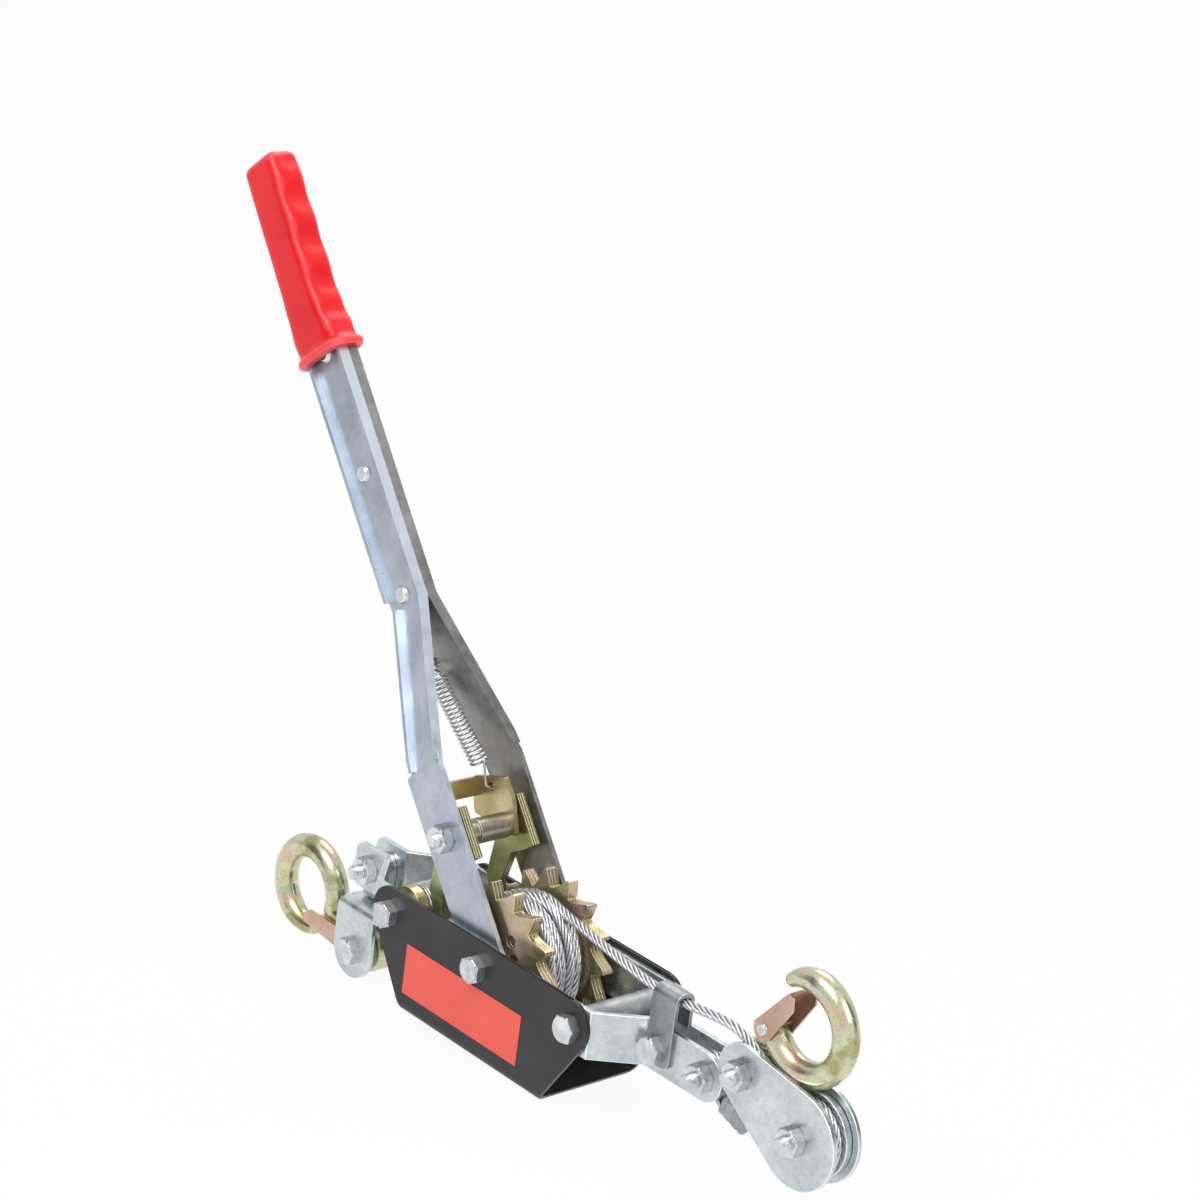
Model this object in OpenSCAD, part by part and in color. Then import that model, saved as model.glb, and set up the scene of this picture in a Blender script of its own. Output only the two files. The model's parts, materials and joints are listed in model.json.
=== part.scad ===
// Come along winch: a hand lever winds a steel cable onto a ratchet drum.
// Working frame: X runs along the pull, towards the pulley hook. Y runs across, away from the
// side with the label. Z points up. The drum axle lies on Y. Every piece is drawn in this frame,
// and in_place() then lays the winch on the floor, on its casing edge and anchor yoke.

/* [Frame] */
// Angle the frame leans when it lies on the floor
lie_deg = 4.37; // [3.8:0.01:4.8]
// Depth of the casing's floor below the axle
casing_drop = 47; // [46:0.5:48]
// Height of the two pull straps
strap_h = 24.6; // [23:0.1:25.4]

/* [Handle] */
// Lean of the handle towards the anchor hook
handle_lean = 38.5; // [30:0.5:42]
// Length of the grip above its flange
grip_len = 112; // [108:1:118]

/* [Drum] */
// Tip radius of the ratchet teeth
tooth_tip_r = 41.6; // [41:0.1:41.8]
// Pitch between turns of the outer cable layer
wind_pitch = 5.43; // [5.3:0.01:5.5]

/* [Hooks] */
// Radius of the centre line of both hook bowls
bowl_r = 22.5; // [22:0.1:22.5]

/* [Hidden] */
$fn = 64;
eps = 0.01;

// M8 fasteners
bolt_r = 3.95;
bolt_hole_r = 4.1;
run_hole_r = 4.03;
head_af = 13;
head_h = 5.3;
nut_h = 6.5;

// frame
bolt_reach = 70;
sheet_t = 2;
casing_y = 31.85;
casing_end_r = 13.5;
strap_t = 3;
strap_y = 28.35;
ear_y = 6.5;
inner_y = 26.85;
ear_out_y = 8;
spacer_r = 8;
sleeve_r = 6;
link_x = -117;
guide_x = 106;
anchor_x = 138;
stub_y = -20;

// drum
gear_in_y = 14.5;
gear_out_y = 20.7;
teeth = 15;
first_tip_deg = 6.3;
tooth_root_r = 33;
hub_r = 10;
cable_r = 2.4;
wind_r = 28.5;
wind_turns = 3.5;
core_r = 25.4;

// handle
arm_t = 2.5;
arm_y = 25.3;
neck_y = 1.25;
grip_from = 322;
neck_from = 186.5;
rivets_u = [192, 258, 324];
neck_end = grip_from + 13;
pawl_pivot = [1.5, 66];

// pulley block
sheave_at = [201, -2];
hook_at = [162, 13];
cheek_in_y = 6.85;
cheek_out_y = 9.25;

// anchor end
pin_at = [-117, -45];
yoke_y = 12.75;
yoke_t = 2.6;

// ---- small geometry helpers ----
function unit(v) = v / norm(v);
function left_of(v) = [-v[1], v[0]];
function heading(p, i) = unit(p[i + 1] - p[i]);
function mitre(p, i) =
  i == 0 ? left_of(heading(p, 0)) :
  i == len(p) - 1 ? left_of(heading(p, i - 1)) :
  let (a = left_of(heading(p, i - 1)), b = left_of(heading(p, i))) (a + b) / (1 + a * b);
// outline of a strip of thickness t bent along the line p
function ribbon(p, t) = concat(
  [for (i = [0:len(p) - 1]) p[i] + mitre(p, i) * t / 2],
  [for (i = [len(p) - 1:-1:0]) p[i] - mitre(p, i) * t / 2]);
// corner b between a and c, rounded to about radius r
function corner(a, b, c, r) =
  let (u = unit(a - b), v = unit(c - b), d = r / tan(acos(u * v) / 2))
  [for (s = [0:0.25:1]) (b + u * d) * (1 - s) * (1 - s) + b * 2 * s * (1 - s)
    + (b + v * d) * s * s];
function rounded(p, r) = let (n = len(p))
  [for (i = [0:n - 1]) each corner(p[(i + n - 1) % n], p[i], p[(i + 1) % n], r)];
function bent(p, r) = let (n = len(p))
  [for (i = [0:n - 1]) each (i == 0 || i == n - 1) ? [p[i]] : corner(p[i - 1], p[i], p[i + 1], r)];
// outer tangent quadrilateral of two circles
function tangent_quad(a, ra, b, rb) =
  let (d = b - a, base = atan2(d[1], d[0]), k = acos((ra - rb) / norm(d)))
  [a + ra * [cos(base + k), sin(base + k)], a + ra * [cos(base - k), sin(base - k)],
   b + rb * [cos(base - k), sin(base - k)], b + rb * [cos(base + k), sin(base + k)]];

// ---- tubes swept along a list of points ----
function along(p, i) = unit(p[min(i + 1, len(p) - 1)] - p[max(i - 1, 0)]);
function carried(n, t) = unit(n - (n * t) * t);
function side_vectors(p, first) =
  [for (i = 0, v = carried(first, along(p, 0)); i < len(p);
    i = i + 1, v = i < len(p) ? carried(v, along(p, i)) : v) v];
// least distance between the surfaces of stretches of one tube at least `apart` points apart
function least_gap(p, r, apart) =
  min([for (i = [0:len(p) - 1 - apart]) for (j = [i + apart:len(p) - 1]) norm(p[i] - p[j])]) - 2 * r;

module swept(p, r, sides, first) {
  n = side_vectors(p, first);
  last = len(p) - 1;
  rings = [for (i = [0:last]) let (b = cross(along(p, i), n[i]))
    for (k = [0:sides - 1]) p[i] + r * (cos(360 * k / sides) * n[i] + sin(360 * k / sides) * b)];
  walls = [for (i = [0:last - 1]) for (k = [0:sides - 1])
    let (a = i * sides + k, b = i * sides + (k + 1) % sides)
    each [[a, a + sides, b], [b, a + sides, b + sides]]];
  caps = [for (k = [1:sides - 2]) each [[0, k, k + 1],
    [last * sides, last * sides + k + 1, last * sides + k]]];
  polyhedron(points = rings, faces = concat(walls, caps));
}

// ---- placing helpers ----
module in_place() {
  rotate([0, lie_deg, 0])
    translate([0, 0, casing_drop])
      children();
}

// handle frame: X across the handle, Z up along it
module on_handle() {
  rotate([0, -handle_lean, 0])
    children();
}

// hook frame: X from the eye towards the bowl
module at_eye(at, dir) {
  translate([at[0], 0, at[1]])
    rotate([0, -dir, 0])
      children();
}

// a flat outline in X and Z, thick from y0 to y1
module plate(y0, y1) {
  translate([0, y1, 0])
    rotate([90, 0, 0])
      linear_extrude(height = y1 - y0)
        children();
}

// an outline in Y and Z, long from x0 to x1
module strip(x0, x1) {
  translate([x0, 0, 0])
    rotate([90, 0, 90])
      linear_extrude(height = x1 - x0)
        children();
}

module round_y(x, z, r, y0, y1) {
  translate([x, y1, z])
    rotate([90, 0, 0])
      cylinder(r = r, h = y1 - y0);
}

module hex_y(x, z, y0, y1, turn) {
  translate([x, y1, z])
    rotate([90, 0, 0])
      rotate([0, 0, turn])
        cylinder(r = head_af / sqrt(3), h = y1 - y0, $fn = 6);
}

// bolt with its head on the near side, or on the far side
module bolt_near(x, z, face, end, turn) {
  round_y(x, z, bolt_r, face - 1, end);
  hex_y(x, z, face - head_h, face, turn);
}

module bolt_far(x, z, face, end, turn) {
  round_y(x, z, bolt_r, end, face + 1);
  hex_y(x, z, face, face + head_h, turn);
}

module nut(x, z, y0, turn) {
  difference() {
    hex_y(x, z, y0, y0 + nut_h, turn);
    round_y(x, z, bolt_hole_r, y0 - 1, y0 + nut_h + 1);
  }
}

module ring_y(x, z, r, hole, y0, y1) {
  difference() {
    round_y(x, z, r, y0, y1);
    round_y(x, z, hole, y0 - 1, y1 + 1);
  }
}

// round bar bent to an arc about an axis along Y, angles from X towards Z
module bar_arc(at, radius, a0, a1, r) {
  translate([at[0], 0, at[1]])
    rotate([90, 0, 0])
      rotate([0, 0, a0])
        rotate_extrude(angle = a1 - a0)
          translate([radius, 0])
            circle(r = r);
}

module ball(at, r) {
  translate([at[0], 0, at[1]])
    sphere(r = r);
}

// ---- frame ----
module casing_outline() {
  for (s = [-1, 1])
    translate([s * (bolt_reach - 1), 1])
      circle(r = casing_end_r);
  polygon([[-69, 14.5], [69, 14.5], [80.4, -6.3], [53.5, -casing_drop], [-53.5, -casing_drop],
    [-80.4, -6.3]]);
}

module channel_section() {
  difference() {
    polygon(rounded_bottom(casing_y, casing_drop, 5));
    polygon(rounded_bottom(casing_y - sheet_t, casing_drop - sheet_t, 3));
  }
}

function rounded_bottom(half, depth, r) = concat([[-half, 20]],
  corner([-half, 20], [-half, -depth], [half, -depth], r),
  corner([-half, -depth], [half, -depth], [half, 20], r), [[half, 20]]);

module casing() {
  in_place() color([0.13, 0.13, 0.14])
    difference() {
      intersection() {
        strip(-90, 90)
          channel_section();
        plate(-casing_y - 1, casing_y + 1)
          casing_outline();
      }
      for (x = [-bolt_reach, 0, bolt_reach])
        round_y(x, 0, bolt_hole_r, -casing_y - 1, casing_y + 1);
    }
}

module label_panel() {
  in_place() color([0.93, 0.25, 0.16])
    plate(-casing_y - 0.3, -casing_y)
      translate([-8.2, -22.9])
        square([89, 27], center = true);
}

module strap_outline() {
  half = strap_h / 2;
  polygon(rounded([[-129, -half], [0, -half], [0, half], [-129, half]], 6));
  translate([-20, -half])
    square([anchor_x + 20, strap_h]);
  translate([anchor_x, 0])
    circle(r = half);
}

module strap(side) {
  path = [[-130, ear_y], [-104.5, ear_y], [-83, strap_y], [80.5, strap_y], [98, ear_y], [152, ear_y]];
  difference() {
    intersection() {
      translate([0, 0, -20])
        linear_extrude(height = 40)
          polygon(ribbon([for (q = path) [q[0], side * q[1]]], strap_t));
      plate(-40, 40)
        strap_outline();
    }
    for (x = [-bolt_reach, 0, bolt_reach, link_x, guide_x, anchor_x])
      round_y(x, 0, bolt_hole_r, -40, 40);
  }
}

module strap_front() {
  in_place() color([0.78, 0.80, 0.82])
    strap(-1);
}

module strap_rear() {
  in_place() color([0.78, 0.80, 0.82])
    strap(1);
}

module frame_spacers() {
  in_place() color([0.70, 0.71, 0.73])
    for (x = [-bolt_reach, bolt_reach])
      ring_y(x, 0, spacer_r, bolt_hole_r, -inner_y, inner_y);
}

module frame_bolts() {
  in_place() color([0.75, 0.76, 0.78]) {
    bolt_near(-bolt_reach, 0, -casing_y, 39.5, 30);
    bolt_near(bolt_reach, 0, -casing_y, 39.5, 12);
  }
}

module frame_nuts() {
  in_place() color([0.75, 0.76, 0.78])
    for (x = [-bolt_reach, 0, bolt_reach])
      nut(x, 0, casing_y, 0);
}

module axle_bolt() {
  in_place() color([0.75, 0.76, 0.78])
    bolt_near(0, 0, -casing_y, 39.5, 30);
}

module axle_sleeve() {
  in_place() color([0.70, 0.71, 0.73])
    ring_y(0, 0, sleeve_r, bolt_hole_r, -inner_y, inner_y);
}

module cable_guide() {
  near_y = ear_out_y + 1;
  inner_y = 1;
  top_z = 31;
  in_place() color([0.72, 0.74, 0.76])
    difference() {
      intersection() {
        strip(100, 116.5)
          polygon(ribbon(bent([[-near_y, -9], [-near_y, top_z], [inner_y, top_z],
            [inner_y, 13.2]], 4), 2));
        plate(-20, 20)
          polygon(rounded([[100, -7.5], [116.5, -7.5], [116.5, 45], [100, 45]], 5));
      }
      round_y(guide_x, 0, bolt_hole_r, -20, 20);
    }
}

module guide_bolt() {
  in_place() color([0.75, 0.76, 0.78])
    bolt_near(guide_x, 0, -ear_out_y - 2, 17.5, 20);
}

module guide_nut() {
  in_place() color([0.75, 0.76, 0.78])
    nut(guide_x, 0, ear_out_y + 2, 0);
}

module anchor_bolt() {
  in_place() color([0.75, 0.76, 0.78])
    bolt_far(anchor_x, 0, ear_out_y, stub_y, 0);
}

module anchor_nut() {
  in_place() color([0.75, 0.76, 0.78])
    nut(anchor_x, 0, -ear_out_y - nut_h, 14);
}

module thimble() {
  groove_r = 8.6;
  in_place() color([0.70, 0.71, 0.73])
    translate([anchor_x, 0, 0])
      rotate([90, 0, 0])
        rotate_extrude()
          difference() {
            translate([bolt_hole_r, -4.4])
              square([8.4 - bolt_hole_r, 8.8]);
            translate([groove_r, 0])
              circle(r = cable_r + 0.1);
          }
}

// ---- cable ----
loop_r = 8.6;
loop_path = concat(
  [[147.6, 0, -7.4], [147.3, 0, -4]],
  [for (a = [0:15:270]) [anchor_x + loop_r * cos(a), 0, loop_r * sin(a)]],
  [[141.6, 0, -10.4], [146.1, 0, -13]]);

module cable_loop() {
  echo(cable_loop_gap = least_gap(loop_path, cable_r, 5));
  in_place() color([0.72, 0.73, 0.74])
    swept(loop_path, cable_r, 8, [0, 1, 0]);
}

module ferrule() {
  in_place() color([0.66, 0.67, 0.68])
    translate([147.2, 0, -10.25])
      rotate([0, 90 + 16.6, 0])
        linear_extrude(height = 16.6) {
          for (s = [-1, 1])
            translate([s * 2.8, 0])
              circle(r = 3.9);
          square([5.6, 7.8], center = true);
        }
}

// the run from the drum, through the guide, over the pulley and back to the ferrule
run_out = [[20, 5.8, 29], [33, 3.6, 28.9], [45, 1.6, 28.6], [60, -0.6, 28.1], [75, -2.3, 27.3],
  [91, -3.5, 26.7], [101, -4, 26.7], [110.5, -4, 27.1], [122, -4, 28], [132, -4, 29.2],
  [142, -4, 30.1], [149, -4.1, 30.3], [156, -4.1, 29], [163, -4.1, 26], [172, -4.1, 22],
  [178.5, -3.7, 19.2], [184.5, -1.7, 17.3], [189, -0.2, 16.2], [195, 0, 15.2]];
pulley_path_r = 17;
run_over = [for (a = [80:-15:-100])
  [sheave_at[0] + pulley_path_r * cos(a), 0, sheave_at[1] + pulley_path_r * sin(a)]];
run_back = [[187, 0, -18.4], [176, 0, -17.2], [168, 0, -15.9], [163.4, 0, -14.6]];
run_path = concat(run_out, run_over, run_back);

module cable_run() {
  in_place() color([0.72, 0.73, 0.74])
    swept(run_path, cable_r, 8, [0, 1, 0]);
}

wind_rings = 24 * wind_turns;
wind_path = concat(
  [[2 * cable_r, -11, -wind_r]],
  [for (i = [0:wind_rings]) let (a = 90 + 15 * (wind_rings - i))
    [wind_r * cos(a), -11 + wind_pitch * i / 24, wind_r * sin(a)]],
  [[2 * cable_r, -11 + wind_pitch * wind_turns, wind_r]]);

module cable_winding() {
  echo(cable_winding_gap = least_gap(wind_path, cable_r, 6));
  in_place() color([0.72, 0.73, 0.74])
    swept(wind_path, cable_r, 6, [0, 1, 0]);
}

// ---- drum ----
function tooth(a) = [for (q = [[-5, 0], [-3.6, 0.35], [-0.8, 0.97], [1, 1], [3.2, 0.84],
  [8, 0.4], [13, 0.1], [17, 0]])
  (tooth_root_r + (tooth_tip_r - tooth_root_r) * q[1]) * [cos(a + q[0]), sin(a + q[0])]];

module ratchet_outline() {
  difference() {
    polygon([for (k = [0:teeth - 1]) each tooth(first_tip_deg + 360 / teeth * k)]);
    circle(r = hub_r + 0.05);
    for (q = [[19.5, 58], [16.3, 29]])
      for (a = [0, 120, 240])
        translate(q[0] * [cos(q[1] + a), sin(q[1] + a)])
          circle(r = 3.25);
  }
}

// three stamped plates riveted side by side
module ratchet(y0) {
  for (i = [0:2])
    plate(y0 + 2.1 * i, y0 + 2.1 * i + 2)
      ratchet_outline();
}

module ratchet_front() {
  in_place() color([0.66, 0.58, 0.36])
    ratchet(-gear_out_y);
}

module ratchet_rear() {
  in_place() color([0.66, 0.58, 0.36])
    ratchet(gear_in_y);
}

module drum_hub() {
  in_place() color([0.66, 0.58, 0.36])
    ring_y(0, 0, hub_r, sleeve_r + 0.08, -23.7, 23.7);
}

module cable_core() {
  in_place() color([0.60, 0.61, 0.62])
    ring_y(0, 0, core_r, hub_r + 0.05, -14.3, 14.3);
}

// ---- holding pawl, on the spacer at the anchor end ----
module holding_pawl_outline() {
  difference() {
    union() {
      translate([-bolt_reach, 0])
        circle(r = 12);
      polygon([[-73, -11.6], [-60.5, -7.3], [-50, -16.5], [-40.8, -16.2], [-33.2, -26.6],
        [-36.5, -33.5], [-46, -31]]);
    }
    translate([-bolt_reach, 0])
      circle(r = spacer_r + 0.08);
  }
}

module holding_pawl() {
  in_place() color([0.66, 0.58, 0.36]) {
    plate(-gear_out_y, -gear_in_y - 0.2)
      holding_pawl_outline();
    plate(gear_in_y + 0.2, gear_out_y)
      holding_pawl_outline();
    ring_y(-bolt_reach, 0, 9.4, spacer_r + 0.08, -gear_in_y - 0.2 - eps, gear_in_y + 0.2 + eps);
  }
}

hold_spring_r = 11.2;
hold_spring_path = concat(
  [[-bolt_reach - hold_spring_r, 9.9, 9], [-bolt_reach - hold_spring_r, 9.9, 6]],
  [for (i = [0:108]) let (a = 180 - 45 * i)
    [-bolt_reach + hold_spring_r * cos(a), 9.9 - 1.7 * i / 8, hold_spring_r * sin(a)]],
  [[-bolt_reach + hold_spring_r, -13.05, -4], [-56.5, -13.05, -9], [-50, -13.05, -14.5]]);

module holding_pawl_spring() {
  echo(holding_pawl_spring_gap = least_gap(hold_spring_path, 0.6, 5));
  in_place() color([0.75, 0.76, 0.78])
    swept(hold_spring_path, 0.6, 6, [0, 1, 0]);
}

// ---- handle ----
module arm_outline() {
  translate([1, 0])
    circle(r = 14.3);
  top = grip_from + 101;
  polygon([[-13.3, 0], [-13.3, 101], [-9.5, 102.5], [-9.5, 186], [-14.5, 188],
    [-14.5, neck_end], [-10, neck_end + 8], [-10, top], [10, top], [10, neck_end + 8],
    [14.5, neck_end], [14.5, 108], [15.3, 96], [15.3, 0]]);
}

module arm_lip(side, x0, run) {
  strip(x0, x0 + arm_t)
    polygon(ribbon([for (q = run) [side * q[0], q[1]]], 3.5));
}

module arm(side) {
  path = [[arm_y, -16], [arm_y, 100], [neck_y, neck_from], [neck_y, grip_from + 105]];
  slope = [[arm_y + 0.6, 103], [arm_y - 0.4, 110], [neck_y + 3, neck_from]];
  neck_top = [neck_y + 3, neck_end];
  on_handle()
    difference() {
      union() {
        intersection() {
          strip(-16, 16)
            polygon(ribbon([for (q = path) [side * q[0], q[1]]], arm_t));
          plate(-30, 30)
            arm_outline();
        }
        arm_lip(side, 12, concat(slope, [neck_top]));
        arm_lip(side, -9.5, slope);
        arm_lip(side, -14.5, [[neck_y + 3, 192], neck_top]);
      }
      round_y(0, 0, sleeve_r + 0.08, -30, 30);
      round_y(pawl_pivot[0], pawl_pivot[1], bolt_hole_r, -30, 30);
      for (u = rivets_u)
        round_y(-1.5, u, 3.05, -30, 30);
      if (side > 0)
        round_y(-6.4, 155.8, 2.4, -30, 30);
    }
}

module handle_arm_front() {
  in_place() color([0.68, 0.72, 0.77])
    arm(-1);
}

module handle_arm_rear() {
  in_place() color([0.55, 0.56, 0.58])
    arm(1);
}

module handle_rivets() {
  in_place() color([0.78, 0.80, 0.82])
    on_handle()
      for (u = rivets_u) {
        round_y(-1.5, u, 3, -4, 4);
        for (s = [-1, 1])
          translate([-1.5, s * 2.5, u])
            rotate([-90 * s, 0, 0])
              cylinder(r1 = 4.8, r2 = 3.4, h = 2);
      }
}

// grip outline across and along the handle, with finger waves on the pulley side
grip_top = grip_from + grip_len;
module grip_outline() {
  wave = [for (u = [grip_top - 6:-3.5:grip_from + 30])
    [12.6 + 1.1 * cos((u - grip_from) * 360 / 23.5), u]];
  polygon(concat(
    [[-17.3, grip_from], [-17, grip_from + 12], [-15, grip_from + 30], [-13.6, grip_from + 70],
     [-12.4, grip_top - 4], [-9, grip_top], [9, grip_top]],
    wave, [[16.8, grip_from + 12], [17.3, grip_from]]));
}

module grip() {
  in_place() color([0.88, 0.05, 0.08])
    on_handle()
      difference() {
        union() {
          intersection() {
            plate(-12, 12)
              grip_outline();
            translate([0, 0, grip_from])
              linear_extrude(height = grip_len)
                polygon(rounded([[-18, -9.4], [18, -9.4], [18, 9.4], [-18, 9.4]], 2.5));
          }
          translate([0, 0, grip_from - 1])
            linear_extrude(height = 4)
              polygon(rounded([[-19.8, -12], [19.8, -12], [19.8, 12], [-19.8, 12]], 6));
        }
        translate([0, 0, grip_from - 2])
          linear_extrude(height = 24)
            square([29.4, 12.4], center = true);
        translate([0, 0, grip_from + 5])
          linear_extrude(height = 97)
            square([22, 5.4], center = true);
        translate([0, 0, grip_from + 12])
          linear_extrude(height = 17)
            square([24, 9], center = true);
      }
}

// ---- drive pawl, carried by the handle ----
module pawl_bolt() {
  in_place() color([0.75, 0.76, 0.78])
    on_handle()
      bolt_far(pawl_pivot[0], pawl_pivot[1], arm_y + arm_t / 2, -36, 20);
}

module pawl_nut() {
  in_place() color([0.75, 0.76, 0.78])
    on_handle()
      nut(pawl_pivot[0], pawl_pivot[1], -arm_y - arm_t / 2 - nut_h, 25);
}

module pawl_tube() {
  in_place() color([0.62, 0.55, 0.36])
    on_handle()
      difference() {
        union() {
          round_y(pawl_pivot[0], pawl_pivot[1], 5.2, -23.8, 23.8);
          round_y(pawl_pivot[0], pawl_pivot[1], 6.5, -8, 11.6);
        }
        round_y(pawl_pivot[0], pawl_pivot[1], run_hole_r, -30, 30);
      }
}

module drive_pawl_outline() {
  difference() {
    polygon([[12.6, 78], [12.6, 51], [5, 51], [-6, 52.8], [-22.8, 41.2], [-28.3, 31.9],
      [-33.7, 33.2], [-30.4, 48.5], [-14.2, 63.5], [-6, 74], [2, 79]]);
    translate(pawl_pivot)
      circle(r = 5.25);
  }
}

// three stamped plates side by side
module drive_pawl(y0) {
  in_place() color([0.66, 0.58, 0.36])
    on_handle()
      for (i = [0:2])
        plate(y0 + 1.6 * i, y0 + 1.6 * i + 1.5)
          drive_pawl_outline();
}

module drive_pawl_front() {
  drive_pawl(-21);
}

module drive_pawl_rear() {
  drive_pawl(16.3);
}

module pawl_bracket() {
  in_place() color([0.60, 0.54, 0.34])
    on_handle() {
      difference() {
        plate(11.6, 14.2)
          polygon(rounded([[-9.9, 95.8], [13.2, 87.5], [13.5, 75.3], [6.6, 57.4], [-18.4, 78.6],
            [-14.9, 86.6]], 2));
        round_y(pawl_pivot[0], pawl_pivot[1], 5.25, 10, 16);
        round_y(0.85, 86.2, 2.2, 10, 16);
      }
      plate(-5, 11.6 + eps)
        polygon([[-9.9, 95.3], [-14.7, 86.9], [-12.5, 85.7], [-7.7, 94.1]]);
    }
}

// tension spring from the far arm to the bracket, hooked through both
spring_r = 4.2;
spring_turns = 21;
spring_from = [-5, 4.2, 148.5];
spring_to = [2, 8.2, 99];
spring_axis = unit(spring_to - spring_from);
spring_u = carried([1, 0, 0], spring_axis);
spring_v = cross(spring_axis, spring_u);
spring_path = concat(
  [[-6.4, 15, 155.8], [-6.4, 9, 155.8], [-6, 5.5, 154.6], [-4, 3.4, 152]],
  [for (i = [0:8 * spring_turns]) spring_from
    + (spring_to - spring_from) * i / (8 * spring_turns)
    + spring_r * (cos(45 * i) * spring_u + sin(45 * i) * spring_v)],
  [[5, 8.2, 96.4], [2.4, 8.4, 91], [0.95, 8.8, 87.2], [0.85, 11, 86.2], [0.85, 16.5, 86.2]]);

module pawl_spring() {
  echo(pawl_spring_gap = least_gap(spring_path, 0.6, 5));
  in_place() color([0.78, 0.79, 0.80])
    on_handle()
      swept(spring_path, 0.6, 6, [1, 0, 0]);
}

// ---- anchor end ----
module link_bolt() {
  in_place() color([0.75, 0.76, 0.78])
    bolt_far(link_x, 0, ear_out_y, stub_y, 0);
}

module link_nut() {
  in_place() color([0.75, 0.76, 0.78])
    nut(link_x, 0, -ear_out_y - nut_h, 10);
}

module upper_yoke() {
  in_place() color([0.76, 0.78, 0.80])
    difference() {
      intersection() {
        strip(link_x - 7, link_x + 7)
          polygon(ribbon(bent([[-3.75, 10], [-3.75, -17], [3.75, -17], [3.75, 10]], 1.5), 2));
        plate(-10, 10) {
          translate([link_x, 0])
            circle(r = 7);
          translate([link_x - 7, -25])
            square([14, 25]);
        }
      }
      round_y(link_x, 0, run_hole_r, -10, 10);
      translate([link_x, 0, -30])
        cylinder(r = 2.58, h = 20);
    }
}

module swivel_rivet() {
  in_place() color([0.78, 0.80, 0.82])
    translate([link_x, 0, 0]) {
      translate([0, 0, -24])
        cylinder(r = 2.5, h = 8.5);
      translate([0, 0, -15.9])
        cylinder(r1 = 2.7, r2 = 2, h = 1.6);
      translate([0, 0, -23.7])
        cylinder(r1 = 4, r2 = 5.5, h = 2.2);
    }
}

module lower_yoke() {
  in_place() color([0.78, 0.80, 0.82])
    difference() {
      intersection() {
        strip(link_x - 15, link_x + 15)
          polygon(ribbon(bent([[-yoke_y, -62], [-yoke_y, -19.9], [yoke_y, -19.9],
            [yoke_y, -62]], 4), yoke_t));
        plate(-20, 20) {
          translate(pin_at)
            circle(r = 15);
          polygon([[link_x - 15, pin_at[1]], [link_x + 15, pin_at[1]], [link_x + 15, -24],
            [link_x + 11, -15], [link_x - 11, -15], [link_x - 15, -24]]);
        }
      }
      round_y(pin_at[0], pin_at[1], bolt_hole_r, -20, 20);
      translate([link_x, 0, -30])
        cylinder(r = 2.58, h = 20);
    }
}

module hook_pin() {
  in_place() color([0.75, 0.76, 0.78])
    bolt_near(pin_at[0], pin_at[1], -yoke_y - yoke_t / 2, 21.7, 10);
}

module hook_pin_nut() {
  in_place() color([0.75, 0.76, 0.78])
    nut(pin_at[0], pin_at[1], yoke_y + yoke_t / 2, 0);
}

// ---- hooks: the eye is at the origin and the bowl's centre is reach along X ----
function on_bowl(reach, deg) = [reach + bowl_r * cos(deg), bowl_r * sin(deg)];

// round bar bent round the bowl, thinner in two steps towards its tip
module hook_bar(reach, start, tip, bar_r) {
  first = tip - 34;
  second = tip - 16;
  ball(on_bowl(reach, start), bar_r + 0.2);
  bar_arc([reach, 0], bowl_r, start, first, bar_r);
  ball(on_bowl(reach, first), bar_r + 0.1);
  bar_arc([reach, 0], bowl_r, first, second, bar_r - 1);
  ball(on_bowl(reach, second), bar_r - 0.9);
  bar_arc([reach, 0], bowl_r, second, tip, bar_r - 2.3);
  ball(on_bowl(reach, tip), bar_r - 2.4);
}

module hook_lug(at, toward) {
  plate(-3.3, 3.3) {
    translate(at)
      circle(r = 4.6);
    polygon(tangent_quad(at, 4.6, toward, 5));
  }
}

// holes for the eye's bolt and the latch's pin
module hook_holes(pin) {
  round_y(0, 0, bolt_hole_r + 0.2, -10, 10);
  round_y(pin[0], pin[1], 2.05, -10, 10);
}

module latch(at, tip_at, lift) {
  d = unit(tip_at - at);
  n = left_of(d);
  reach = norm(tip_at - at);
  for (s = [-1, 1])
    difference() {
      plate(s > 0 ? 6.8 : -8, s > 0 ? 8 : -6.8) {
        translate(at)
          circle(r = 5.8);
        polygon([at - d * 2 + n * 6.2, at + d * reach + n * lift, at + d * (reach + 1) - n * 1,
          at + d * (reach - 4) - n * 5, at + d * 2 - n * 5.6]);
      }
      round_y(at[0], at[1], 2.05, -10, 10);
    }
  plate(-8, 8)
    polygon([at - d * 2 + n * 6.2, at + d * reach + n * lift, at + d * reach + n * (lift - 1.2),
      at - d * 2 + n * 5]);
}

module latch_pin(at) {
  round_y(at[0], at[1], 2, -8.9, 8.9);
  for (s = [-1, 1])
    translate([at[0], s * 8.05, at[1]])
      rotate([-90 * s, 0, 0])
        cylinder(r1 = 3.2, r2 = 2.4, h = 1.2);
}

anchor_reach = 56;
anchor_dir = 169.2;
anchor_pin = [17, 6];
anchor_latch_tip = [48, 11.5];

module anchor_hook() {
  in_place() color([0.70, 0.62, 0.38])
    at_eye(pin_at, anchor_dir)
      difference() {
        union() {
          round_y(0, 0, 13.6, -6, 6);
          translate([8, 0, 0])
            rotate([0, 90, 0])
              cylinder(r = 5.8, h = 25);
          hook_bar(anchor_reach, 181, 474, 6.5);
          hook_lug(anchor_pin, [24, 1]);
        }
        hook_holes(anchor_pin);
      }
}

module anchor_latch() {
  in_place() color([0.78, 0.52, 0.36])
    at_eye(pin_at, anchor_dir)
      latch(anchor_pin, anchor_latch_tip, 3.4);
}

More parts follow.
